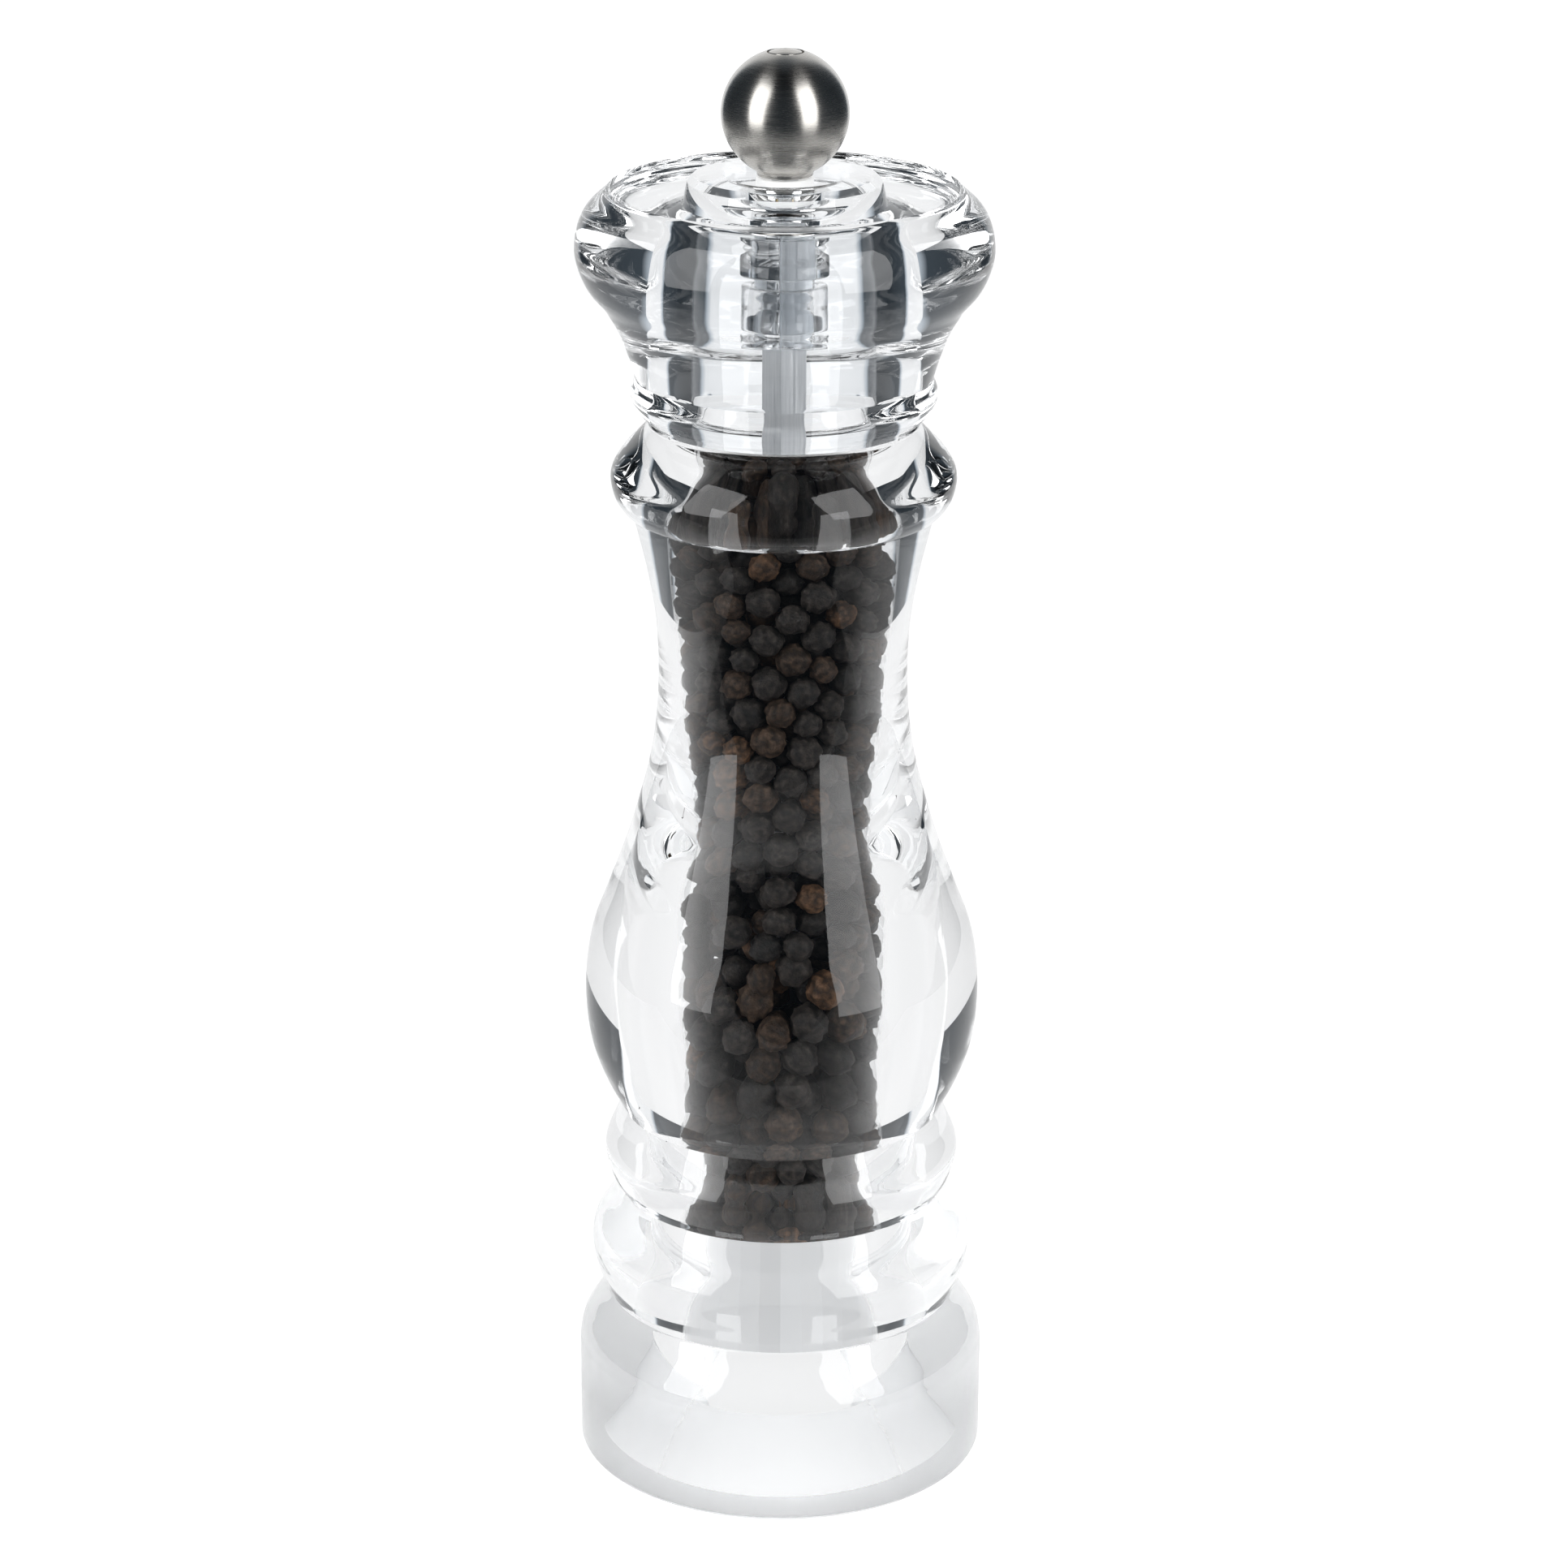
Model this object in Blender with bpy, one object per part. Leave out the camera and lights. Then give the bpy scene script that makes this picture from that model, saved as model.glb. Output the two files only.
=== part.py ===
"""Clear pepper mill with a turned acrylic body, a lift-off head and a steel ball knob.

The mill stands on z = 0 with its turning axis on Z. Lengths below are in millimetres and
become metres when a mesh is made. Outlines are (radius, height) pairs.
"""

from math import cos, hypot, pi, radians, sin

import bmesh
import bpy
from mathutils import Vector

MM = 0.001
GAP = 0.3  # clearance left between neighbouring pieces
SLIDING_GAP = 0.15  # clearance on each side of the square spindle
SEGMENTS = 32  # facets round a large turned piece
SMALL_SEGMENTS = 24  # facets round a small turned piece
FINE_STEPS = 2  # chords between two points of a tight curve
CREASE = radians(35)

# Foot and body
FOOT_RADIUS = 31.35
FOOT_EDGE = 1.6
SHOULDER_HEIGHT = 17.4
LOW_GROOVE = (26.8, 26.4)
MID_GROOVE = (25.0, 43.8)
HIGH_GROOVE = (24.4, 57.0)
COLLAR_CREASE = (22.4, 151.2)
MOUTH_HEIGHT = 164.9
MOUTH_EDGE_RADIUS = 19.8
MOUTH_RADIUS = 17.2
MOUTH_DEPTH = 1.3
CHAMBER_RADIUS = 14.3
CHAMBER_FLOOR = 42.0
CHAMBER_WALL = [
    (CHAMBER_RADIUS, CHAMBER_FLOOR),
    (14.4, 58.0),
    (15.6, 66.0),
    (16.8, 75.0),
    (16.9, 82.0),
    (16.2, 89.0),
    (14.7, 98.0),
    (14.8, 106.0),
    (15.3, 118.0),
    (15.7, 130.0),
    (16.4, 142.0),
    (17.0, 153.0),
    (MOUTH_RADIUS, MOUTH_HEIGHT - MOUTH_DEPTH),
]
THROAT_RADIUS = 13.0
BAY_RADIUS = 13.9
BAY_TOP = 39.0
OUTLET_STRAIGHT = 11.0
OUTLET_RADIUS = 17.4

# Head
HEAD_FLOOR = MOUTH_HEIGHT + GAP
SPIGOT_RADIUS = MOUTH_RADIUS - GAP
SPIGOT_FLOOR = MOUTH_HEIGHT - MOUTH_DEPTH + GAP
HEAD_CAVITY_RADIUS = 13.2
HEAD_CAVITY_CEILING = 191.4
CEILING_CORNER = 4.2
COVE_CREASE = (26.4, 182.5)
RIM = (25.7, 199.8)
HUB_TOP = 201.7
RECESS_RADIUS = 9.0
RECESS_FLOOR = 195.7
SHAFT_HOLE_RADIUS = 3.6
BUSH_HOLE_RADIUS = 4.6
BUSH_HOLE_TOP = 193.9
BUSH_BOTTOM = 184.4
BUSH_DISC_RADIUS = 6.4
BUSH_DISC_BOTTOM = 188.4
BUSH_DISC_TOP = 189.8
COLLAR_RADIUS = 6.2
COLLAR_BOTTOM = 184.7
COLLAR_TOP = 187.5

# Spindle
SPINDLE_SIDE = 4.5
SPINDLE_TURN = radians(37.5)
SPINDLE_TRAVEL = 1.4  # how far the knob lifts it from the coarsest to the finest grind
SPINDLE_BOTTOM = 14.6
SQUARE_BOTTOM = 17.9
SQUARE_TOP = 194.6
SPINDLE_TOP = 206.6
THREAD_RADIUS = 2.0
GROOVE_DEPTH = 0.12
GROOVE_SPACING = 1.4
SQUARE_HOLE_SIDE = SPINDLE_SIDE + 2 * SLIDING_GAP

# Grinding mechanism
HOUSING_RADIUS = BAY_RADIUS - GAP
HOUSING_BOTTOM = 19.6
HOUSING_TOP = BAY_TOP - GAP
HOUSING_FUNNEL_RADIUS = 12.7
LEDGE_RADIUS = 10.2
LEDGE_BOTTOM = 30.7
LEDGE_TOP = 32.2
STATOR_RADIUS = 12.0
STATOR_TOP = LEDGE_BOTTOM - GAP
STATOR_TIPS = ((9.4, 20.4), (8.0, 23.4), (10.5, STATOR_TOP))
STATOR_TEETH = 20
STATOR_TOOTH_DEPTH = 0.8
ROTOR_BOTTOM = 17.6
ROTOR_TOP = 24.7
ROTOR_BOTTOM_RADIUS = 9.6
ROTOR_TOP_RADIUS = 6.0
ROTOR_TEETH = 12
ROTOR_TOOTH_DEPTH = 1.0
ROTOR_LEVELS = 5
BURR_TWIST = radians(24)  # of the teeth, from the bottom of a burr to its top
BRIDGE_BOTTOM = LEDGE_TOP + GAP
BRIDGE_THICKNESS = 1.6
BRIDGE_HALF_LENGTH = 12.2
BRIDGE_HALF_WIDTH = 2.4
BRIDGE_EYE_RADIUS = 5.7
BRIDGE_HOLE_RADIUS = 4.3
BUSH_FLANGE_RADIUS = 5.0
SCREW_OFFSET = 11.3
SCREW_RADIUS = 0.6
SCREW_HEAD_RADIUS = 1.0
SCREW_HOLE_RADIUS = 0.8
SPRING_RADIUS = 5.4
SPRING_WIRE_RADIUS = 0.45
SPRING_TURNS = 3.5
SPRING_SIDES = 6
WASHER_BOTTOM = ROTOR_TOP + GAP
WASHER_TOP = WASHER_BOTTOM + 0.8
WASHER_RADIUS = 6.4
WASHER_HOLE_RADIUS = 3.6
NUT_BOTTOM = 15.4
NUT_RADIUS = 4.0

# Ball knob
BALL_RADIUS = 9.3
BALL_HEIGHT = 210.7
BALL_START = -62.0  # degrees above level at which the round of the ball starts, over its neck
BALL_END = 73.2  # and ends, at the hole for the cap
KNOB_NECK_RADIUS = 4.1
KNOB_NECK_TOP = 202.1
KNOB_WASHER_FOOT = 4.9
KNOB_WASHER_RADIUS = 4.2
KNOB_WASHER_BOTTOM = RECESS_FLOOR + GAP
KNOB_WASHER_STEP = 197.2
KNOB_WASHER_TOP = 201.4
KNOB_BOTTOM = KNOB_WASHER_TOP + GAP
INSERT_RADIUS = 3.1
INSERT_TOP = 210.6
CAP_RADIUS = 2.4
CAP_BOTTOM = 218.4


def clear_scene():
    for thing in list(bpy.data.objects):
        bpy.data.objects.remove(thing, do_unlink=True)


def material(name, colour, roughness, metallic=0.0, transmission=0.0):
    """A Principled material in one plain colour."""
    made = bpy.data.materials.new(name)
    made.use_nodes = True
    shader = made.node_tree.nodes["Principled BSDF"]
    shader.inputs["Base Color"].default_value = (*colour, 1.0)
    shader.inputs["Roughness"].default_value = roughness
    shader.inputs["Metallic"].default_value = metallic
    shader.inputs["Transmission Weight"].default_value = transmission
    shader.inputs["IOR"].default_value = 1.49
    return made


def add_object(name, bm, finish):
    """Turns a bmesh whose lengths are millimetres into a named object in metres."""
    bmesh.ops.recalc_face_normals(bm, faces=bm.faces)
    bmesh.ops.scale(bm, vec=(MM, MM, MM), verts=bm.verts)
    mesh = bpy.data.meshes.new(name)
    bm.to_mesh(mesh)
    bm.free()
    mesh.shade_smooth()
    mesh.set_sharp_from_angle(angle=CREASE)
    mesh.materials.append(finish)
    made = bpy.data.objects.new(name, mesh)
    bpy.context.scene.collection.objects.link(made)
    return made


def smooth(points, steps=FINE_STEPS):
    """Points of a Catmull-Rom curve through the given points."""
    ends = [Vector(p) for p in points]
    ends = [2 * ends[0] - ends[1], *ends, 2 * ends[-1] - ends[-2]]
    curve = []
    for a, b, c, d in zip(ends, ends[1:], ends[2:], ends[3:]):
        for step in range(steps):
            t = step / steps
            curve.append(
                b + 0.5 * t * (c - a + t * (2 * a - 5 * b + 4 * c - d + t * (3 * (b - c) + d - a)))
            )
    return [tuple(p) for p in curve] + [tuple(points[-1])]


def arc(centre, radius, start, end, steps):
    """Points of a circular arc in the outline plane, angles in degrees from +radius."""
    angles = [radians(start + (end - start) * i / steps) for i in range(steps + 1)]
    return [(centre[0] + radius * cos(a), centre[1] + radius * sin(a)) for a in angles]


def chain(*runs):
    """Joins outline runs end to end and drops repeated points."""
    joined = []
    for point in (p for run in runs for p in run):
        if not joined or hypot(point[0] - joined[-1][0], point[1] - joined[-1][1]) > 1e-6:
            joined.append(point)
    return joined


def loft(rings):
    """A closed bmesh through rings of equal length, or single points for poles, ends capped."""
    bm = bmesh.new()
    rows = [[bm.verts.new(p) for p in ring] for ring in rings]
    for low, high in zip(rows, rows[1:]):
        count = max(len(low), len(high))
        for i in range(count):
            j = (i + 1) % count
            corners = [low[i % len(low)], low[j % len(low)], high[j % len(high)], high[i % len(high)]]
            bm.faces.new(list(dict.fromkeys(corners)))
    for row in (rows[0], rows[-1]):
        if len(row) > 1:
            bm.faces.new(row)
    return bm


def revolve(outline, segments):
    """A closed bmesh from an outline turned about Z. Points on the axis become poles."""
    bm = bmesh.new()
    rows = []
    for radius, height in outline:
        count = segments if radius > 0 else 1
        angles = [2 * pi * i / segments for i in range(count)]
        rows.append([bm.verts.new((radius * cos(a), radius * sin(a), height)) for a in angles])
    for here, there in zip(rows, rows[1:] + rows[:1]):
        if len(here) == len(there) == 1:
            continue
        for i in range(segments):
            j = (i + 1) % segments
            corners = [
                here[i % len(here)],
                here[j % len(here)],
                there[j % len(there)],
                there[i % len(there)],
            ]
            bm.faces.new(list(dict.fromkeys(corners)))
    return bm


def turned(name, outline, finish, segments=SMALL_SEGMENTS):
    return add_object(name, revolve(outline, segments), finish)


def square_ring(side, height):
    """Corners of the spindle's square section at one height."""
    half_diagonal = side / 2 * 2**0.5
    angles = [SPINDLE_TURN + pi / 4 + i * pi / 2 for i in range(4)]
    return [(half_diagonal * cos(a), half_diagonal * sin(a), height) for a in angles]


def round_ring(radius, height, segments, centre=(0.0, 0.0)):
    angles = [2 * pi * (i + 0.5) / segments for i in range(segments)]
    return [(centre[0] + radius * cos(a), centre[1] + radius * sin(a), height) for a in angles]


def combine(target, name, tool_bmesh, operation="DIFFERENCE"):
    """Cuts or joins a closed bmesh into an object with a Boolean modifier."""
    tool = add_object(name, tool_bmesh, target.data.materials[0])
    tool.hide_render = True
    tool.display_type = "WIRE"
    boolean = target.modifiers.new(name, "BOOLEAN")
    boolean.operation = operation
    boolean.object = tool
    boolean.solver = "EXACT"


def cut_square_hole(target, bottom, top):
    rings = [square_ring(SQUARE_HOLE_SIDE, bottom), square_ring(SQUARE_HOLE_SIDE, top)]
    combine(target, f"{target.name}_square_hole", loft(rings))


def cut_screw_holes(target, bottom, top):
    for side, offset in (("left", -SCREW_OFFSET), ("right", SCREW_OFFSET)):
        rings = [round_ring(SCREW_HOLE_RADIUS, z, 12, (offset, 0.0)) for z in (bottom, top)]
        combine(target, f"{target.name}_{side}_hole", loft(rings))


def body_outside():
    """The body's outer outline from the mouth's edge down to the foot."""
    collar = [
        (MOUTH_EDGE_RADIUS, MOUTH_HEIGHT),
        (21.3, 163.2),
        (23.5, 161.0),
        (25.2, 158.4),
        (25.6, 156.4),
        (25.0, 153.9),
        (23.8, 152.1),
        COLLAR_CREASE,
    ]
    bulb = [
        COLLAR_CREASE,
        (20.2, 142.0),
        (19.0, 134.5),
        (18.65, 127.5),
        (19.0, 119.5),
        (20.3, 111.4),
        (23.2, 101.0),
        (26.3, 92.4),
        (28.9, 85.2),
        (29.95, 77.5),
        (29.5, 69.6),
        (27.6, 63.2),
        HIGH_GROOVE,
    ]
    high_bead = [HIGH_GROOVE, (25.7, 54.1), (27.15, 50.1), (26.3, 46.1), MID_GROOVE]
    low_bead = [MID_GROOVE, (26.6, 40.6), (28.7, 37.3), (29.25, 34.2), (28.5, 30.2), LOW_GROOVE]
    shoulder = [
        LOW_GROOVE,
        (27.9, 24.6),
        (29.5, 22.3),
        (30.8, 20.0),
        (FOOT_RADIUS, SHOULDER_HEIGHT),
    ]
    foot_centre = (FOOT_RADIUS - FOOT_EDGE, FOOT_EDGE)
    foot_edge = arc(foot_centre, FOOT_EDGE, 0, -90, 3)
    beads = [smooth(high_bead), smooth(low_bead)]
    return chain(collar, bulb, *beads, shoulder, foot_edge)


def body_inside():
    """The body's inner outline from the outlet up to the mouth."""
    outlet = [(OUTLET_RADIUS, 0.0), (16.0, 4.0), (14.6, 7.6), (BAY_RADIUS, OUTLET_STRAIGHT)]
    bay = [
        (BAY_RADIUS, BAY_TOP),
        (THROAT_RADIUS, BAY_TOP),
        (THROAT_RADIUS, CHAMBER_FLOOR - CHAMBER_RADIUS + THROAT_RADIUS),
    ]
    return chain(outlet, bay, CHAMBER_WALL, [(MOUTH_RADIUS, MOUTH_HEIGHT)])


def head_outside():
    """The head's outer outline from the spigot's seat up over the rim to the shaft recess."""
    seat = [(SPIGOT_RADIUS, SPIGOT_FLOOR), (SPIGOT_RADIUS, HEAD_FLOOR), (19.8, HEAD_FLOOR)]
    bead = [(19.8, HEAD_FLOOR), (21.6, 167.1), (22.6, 169.4), (21.9, 171.9)]
    cove = [(21.9, 171.9), (23.0, 175.4), (24.4, 179.0), COVE_CREASE]
    bulge = [COVE_CREASE, (29.2, 186.0), (30.65, 190.8), (29.4, 196.0), RIM]
    dish = [RIM, (22.6, 197.3), (18.6, 196.3), (14.9, 197.4)]
    hub = [(14.9, 197.4), (14.2, 200.8), (13.2, HUB_TOP), (RECESS_RADIUS, HUB_TOP)]
    recess = [(RECESS_RADIUS, HUB_TOP), (8.4, 198.6), (6.9, 196.6), (5.2, RECESS_FLOOR)]
    return chain(seat, smooth(bead), cove, smooth(bulge), smooth(dish), hub, recess)


def head_inside():
    """The head's shaft hole and cavity, from the recess floor down to the spigot."""
    centre = (HEAD_CAVITY_RADIUS - CEILING_CORNER, HEAD_CAVITY_CEILING - CEILING_CORNER)
    corner = arc(centre, CEILING_CORNER, 90, 0, 4)
    hole = [
        (SHAFT_HOLE_RADIUS, RECESS_FLOOR),
        (SHAFT_HOLE_RADIUS, BUSH_HOLE_TOP),
        (BUSH_HOLE_RADIUS, BUSH_HOLE_TOP),
        (BUSH_HOLE_RADIUS, HEAD_CAVITY_CEILING),
    ]
    return chain(hole, corner, [(HEAD_CAVITY_RADIUS, SPIGOT_FLOOR)])


def toothed_ring(height, valley, tip, teeth, twist):
    """A ring of saw teeth: a steep flank, a land, then a long slope back to the valley."""
    ring = []
    for tooth in range(teeth):
        for share, radius in ((0.0, valley), (0.12, tip), (0.4, tip), (0.8, valley)):
            angle = 2 * pi * (tooth + share) / teeth + twist
            ring.append((radius * cos(angle), radius * sin(angle), height))
    return ring


def make_rotor(finish):
    """The turning burr: a toothed cone with a square hole for the spindle."""
    rings = []
    for level in range(ROTOR_LEVELS):
        share = level / (ROTOR_LEVELS - 1)
        height = ROTOR_BOTTOM + (ROTOR_TOP - ROTOR_BOTTOM) * share
        tip = ROTOR_BOTTOM_RADIUS + (ROTOR_TOP_RADIUS - ROTOR_BOTTOM_RADIUS) * share
        valley = tip - ROTOR_TOOTH_DEPTH
        rings.append(toothed_ring(height, valley, tip, ROTOR_TEETH, BURR_TWIST * share))
    rotor = add_object("rotor_burr", loft(rings), finish)
    cut_square_hole(rotor, ROTOR_BOTTOM - 1, ROTOR_TOP + 1)


def make_stator(finish):
    """The fixed burr: a round ring, toothed inside, that funnels in to a neck and out again."""
    bottom = STATOR_TIPS[0][1]
    rings = []
    for tip, height in STATOR_TIPS:
        twist = BURR_TWIST * (height - bottom) / (STATOR_TOP - bottom)
        rings.append(toothed_ring(height, tip + STATOR_TOOTH_DEPTH, tip, STATOR_TEETH, -twist))
    for ring in (rings[-1], rings[0]):
        outward = [Vector(point[:2]).normalized() * STATOR_RADIUS for point in ring]
        rings.append([(*flat, ring[0][2]) for flat in outward])
    bm = bmesh.new()
    rows = [[bm.verts.new(p) for p in ring] for ring in rings]
    for here, there in zip(rows, rows[1:] + rows[:1]):
        for i in range(len(here)):
            bm.faces.new([here[i - 1], here[i], there[i], there[i - 1]])
    add_object("stator_ring", bm, finish)


def make_housing(finish):
    outline = [
        (HOUSING_RADIUS, HOUSING_BOTTOM),
        (HOUSING_RADIUS, HOUSING_TOP),
        (HOUSING_FUNNEL_RADIUS + 0.6, HOUSING_TOP),
        (HOUSING_FUNNEL_RADIUS, HOUSING_TOP - 1.2),
        (HOUSING_FUNNEL_RADIUS, LEDGE_TOP),
        (LEDGE_RADIUS, LEDGE_TOP),
        (LEDGE_RADIUS, LEDGE_BOTTOM),
        (STATOR_RADIUS + GAP, LEDGE_BOTTOM),
        (STATOR_RADIUS + GAP, HOUSING_BOTTOM),
    ]
    housing = turned("burr_housing", outline, finish, SEGMENTS)
    cut_screw_holes(housing, LEDGE_BOTTOM - 1, LEDGE_TOP + 1)


def make_bridge(finish):
    """A flat bar across the housing with a round eye in its middle."""
    top = BRIDGE_BOTTOM + BRIDGE_THICKNESS
    corners = [
        (BRIDGE_HALF_LENGTH, BRIDGE_HALF_WIDTH - 1.0),
        (BRIDGE_HALF_LENGTH - 0.5, BRIDGE_HALF_WIDTH),
        (0.5 - BRIDGE_HALF_LENGTH, BRIDGE_HALF_WIDTH),
        (-BRIDGE_HALF_LENGTH, BRIDGE_HALF_WIDTH - 1.0),
    ]
    corners += [(-x, -y) for x, y in corners]
    bar = loft([[(x, y, z) for x, y in corners] for z in (BRIDGE_BOTTOM, top)])
    bridge = add_object("bridge", bar, finish)
    eye = [round_ring(BRIDGE_EYE_RADIUS, z, 24) for z in (BRIDGE_BOTTOM, top)]
    combine(bridge, "bridge_eye", loft(eye), "UNION")
    hole = [round_ring(BRIDGE_HOLE_RADIUS, z, 24) for z in (BRIDGE_BOTTOM - 1, top + 1)]
    combine(bridge, "bridge_eye_hole", loft(hole))
    cut_screw_holes(bridge, BRIDGE_BOTTOM - 1, top + 1)


def make_screws(finish):
    seat = BRIDGE_BOTTOM + BRIDGE_THICKNESS + GAP
    outline = ((SCREW_RADIUS, LEDGE_BOTTOM + 0.2), (SCREW_RADIUS, seat))
    head = ((SCREW_HEAD_RADIUS, seat), (SCREW_HEAD_RADIUS, seat + 0.4))
    crown = ((SCREW_HEAD_RADIUS * 0.6, seat + 0.8),)
    for side, offset in (("left", -SCREW_OFFSET), ("right", SCREW_OFFSET)):
        rings = [round_ring(r, z, 12) for r, z in outline + head + crown]
        screw = add_object(f"bridge_screw_{side}", loft(rings), finish)
        screw.location.x = offset * MM


def make_spindle_bush(finish):
    """The flanged bush that turns in the bridge's eye and guides the square spindle."""
    flange_bottom = BRIDGE_BOTTOM + BRIDGE_THICKNESS + GAP
    outline = [
        (0.0, BRIDGE_BOTTOM),
        (BRIDGE_HOLE_RADIUS - GAP, BRIDGE_BOTTOM),
        (BRIDGE_HOLE_RADIUS - GAP, flange_bottom),
        (BUSH_FLANGE_RADIUS, flange_bottom),
        (BUSH_FLANGE_RADIUS, flange_bottom + 0.8),
        (BUSH_FLANGE_RADIUS - 0.4, flange_bottom + 1.2),
        (0.0, flange_bottom + 1.2),
    ]
    bush = turned("spindle_bush", outline, finish)
    cut_square_hole(bush, BRIDGE_BOTTOM - 1, flange_bottom + 2)


def make_spring(finish):
    """The burr spring: one round wire wound from the thrust washer up to the bridge."""
    bottom = WASHER_TOP + GAP + SPRING_WIRE_RADIUS
    rise = BRIDGE_BOTTOM - GAP - SPRING_WIRE_RADIUS - bottom
    steps = int(SPRING_TURNS * 14)
    rings = []
    for step in range(steps + 1):
        share = step / steps
        turn = 2 * pi * SPRING_TURNS * share
        outward = Vector((cos(turn), sin(turn), 0.0))
        centre = outward * SPRING_RADIUS + Vector((0.0, 0.0, bottom + rise * share))
        ring = []
        for side in range(SPRING_SIDES):
            angle = 2 * pi * side / SPRING_SIDES
            offset = outward * cos(angle) + Vector((0.0, 0.0, sin(angle)))
            ring.append(centre + offset * SPRING_WIRE_RADIUS)
        rings.append(ring)
    add_object("burr_spring", loft(rings), finish)


def make_thrust_washer(finish):
    """The flat washer between the spring and the turning burr."""
    corners = [(WASHER_RADIUS, WASHER_BOTTOM), (WASHER_RADIUS, WASHER_TOP)]
    corners += [(WASHER_HOLE_RADIUS, WASHER_TOP), (WASHER_HOLE_RADIUS, WASHER_BOTTOM)]
    turned("thrust_washer", corners, finish)


def make_rotor_nut(finish):
    """The hexagon nut that holds the rotor on the spindle's lower thread."""
    top = ROTOR_BOTTOM - GAP
    hexagon = [round_ring(NUT_RADIUS, z, 6) for z in (NUT_BOTTOM, top)]
    nut = add_object("rotor_nut", loft(hexagon), finish)
    hole = [round_ring(THREAD_RADIUS + GAP, z, 16) for z in (NUT_BOTTOM - 1, top + 1)]
    combine(nut, "rotor_nut_hole", loft(hole))


def threaded_rings(bottom, top):
    """Rings of a thread drawn as plain grooves."""
    steps = 2 * int((top - bottom) / GROOVE_SPACING)
    rings = []
    for step in range(steps + 1):
        radius = THREAD_RADIUS - GROOVE_DEPTH * (step % 2)
        rings.append(round_ring(radius, bottom + (top - bottom) * step / steps, 16))
    return rings


def make_spindle(finish):
    """A square bar whose two ends are turned down and threaded, joined into one solid."""
    square = add_object(
        "spindle",
        loft([square_ring(SPINDLE_SIDE, SQUARE_BOTTOM), square_ring(SPINDLE_SIDE, SQUARE_TOP)]),
        finish,
    )
    ends = (
        ("spindle_upper_thread", SQUARE_TOP - 1, SPINDLE_TOP),
        ("spindle_lower_thread", SPINDLE_BOTTOM, SQUARE_BOTTOM + 1),
    )
    for name, bottom, top in ends:
        combine(square, name, loft(threaded_rings(bottom, top)), "UNION")


def make_drive_bush(finish):
    """The bush in the head whose square hole drives the spindle, and the collar below its disc."""
    shank = BUSH_HOLE_RADIUS - GAP
    outline = [
        (0.0, BUSH_BOTTOM),
        (shank, BUSH_BOTTOM),
        (shank, BUSH_DISC_BOTTOM),
        (BUSH_DISC_RADIUS - 0.3, BUSH_DISC_BOTTOM),
        (BUSH_DISC_RADIUS, BUSH_DISC_BOTTOM + 0.3),
        (BUSH_DISC_RADIUS, BUSH_DISC_TOP - 0.3),
        (BUSH_DISC_RADIUS - 0.3, BUSH_DISC_TOP),
        (shank, BUSH_DISC_TOP),
        (shank, BUSH_HOLE_TOP - GAP),
        (0.0, BUSH_HOLE_TOP - GAP),
    ]
    bush = turned("drive_bush", outline, finish)
    cut_square_hole(bush, BUSH_BOTTOM - 1, BUSH_HOLE_TOP + 1)
    bottom, top = COLLAR_BOTTOM, COLLAR_TOP
    collar = [
        (BUSH_HOLE_RADIUS, bottom),
        (COLLAR_RADIUS - 0.4, bottom),
        (COLLAR_RADIUS, bottom + 0.4),
        (COLLAR_RADIUS, top - 0.4),
        (COLLAR_RADIUS - 0.4, top),
        (BUSH_HOLE_RADIUS, top),
    ]
    turned("bush_collar", collar, finish)


def make_knob_washer(finish):
    """The collar the knob bears on, with a wider foot in the head's recess."""
    hole = SHAFT_HOLE_RADIUS - 0.4
    outline = [
        (hole, KNOB_WASHER_BOTTOM),
        (KNOB_WASHER_FOOT - 0.2, KNOB_WASHER_BOTTOM),
        (KNOB_WASHER_FOOT, KNOB_WASHER_BOTTOM + 0.4),
        (KNOB_WASHER_FOOT, KNOB_WASHER_STEP - 0.3),
        (KNOB_WASHER_RADIUS, KNOB_WASHER_STEP),
        (KNOB_WASHER_RADIUS, KNOB_WASHER_TOP - 0.3),
        (KNOB_WASHER_RADIUS - 0.3, KNOB_WASHER_TOP),
        (hole, KNOB_WASHER_TOP),
    ]
    turned("knob_washer", outline, finish)


def make_knob(ball_finish, insert_finish, cap_finish):
    """The steel ball with its neck, its threaded insert and the plug in its crown."""
    cap_hole = CAP_RADIUS + GAP
    cap_seat = CAP_BOTTOM - 0.5
    hole = INSERT_RADIUS + GAP
    ball = [
        (0.0, INSERT_TOP + GAP),
        (hole, INSERT_TOP + GAP),
        (hole, KNOB_BOTTOM),
        (KNOB_NECK_RADIUS, KNOB_BOTTOM),
        (KNOB_NECK_RADIUS, KNOB_NECK_TOP),
        *arc((0.0, BALL_HEIGHT), BALL_RADIUS, BALL_START, BALL_END, 14),
        (cap_hole, cap_seat),
        (0.0, cap_seat),
    ]
    turned("knob_ball", ball, ball_finish)
    bore = THREAD_RADIUS + GAP
    thread_end = SPINDLE_TOP + SPINDLE_TRAVEL + GAP
    insert = [
        (0.0, thread_end + 0.4),
        (bore, thread_end),
        (bore, KNOB_BOTTOM + 0.2),
        (INSERT_RADIUS, KNOB_BOTTOM + 0.2),
        (INSERT_RADIUS, INSERT_TOP),
        (0.0, INSERT_TOP),
    ]
    turned("knob_thread_insert", insert, insert_finish, 20)
    crown = BALL_HEIGHT + BALL_RADIUS
    cap = [(0.0, CAP_BOTTOM), (CAP_RADIUS, CAP_BOTTOM), (CAP_RADIUS, crown - 0.3), (0.0, crown)]
    turned("knob_cap", cap, cap_finish, 20)


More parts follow.
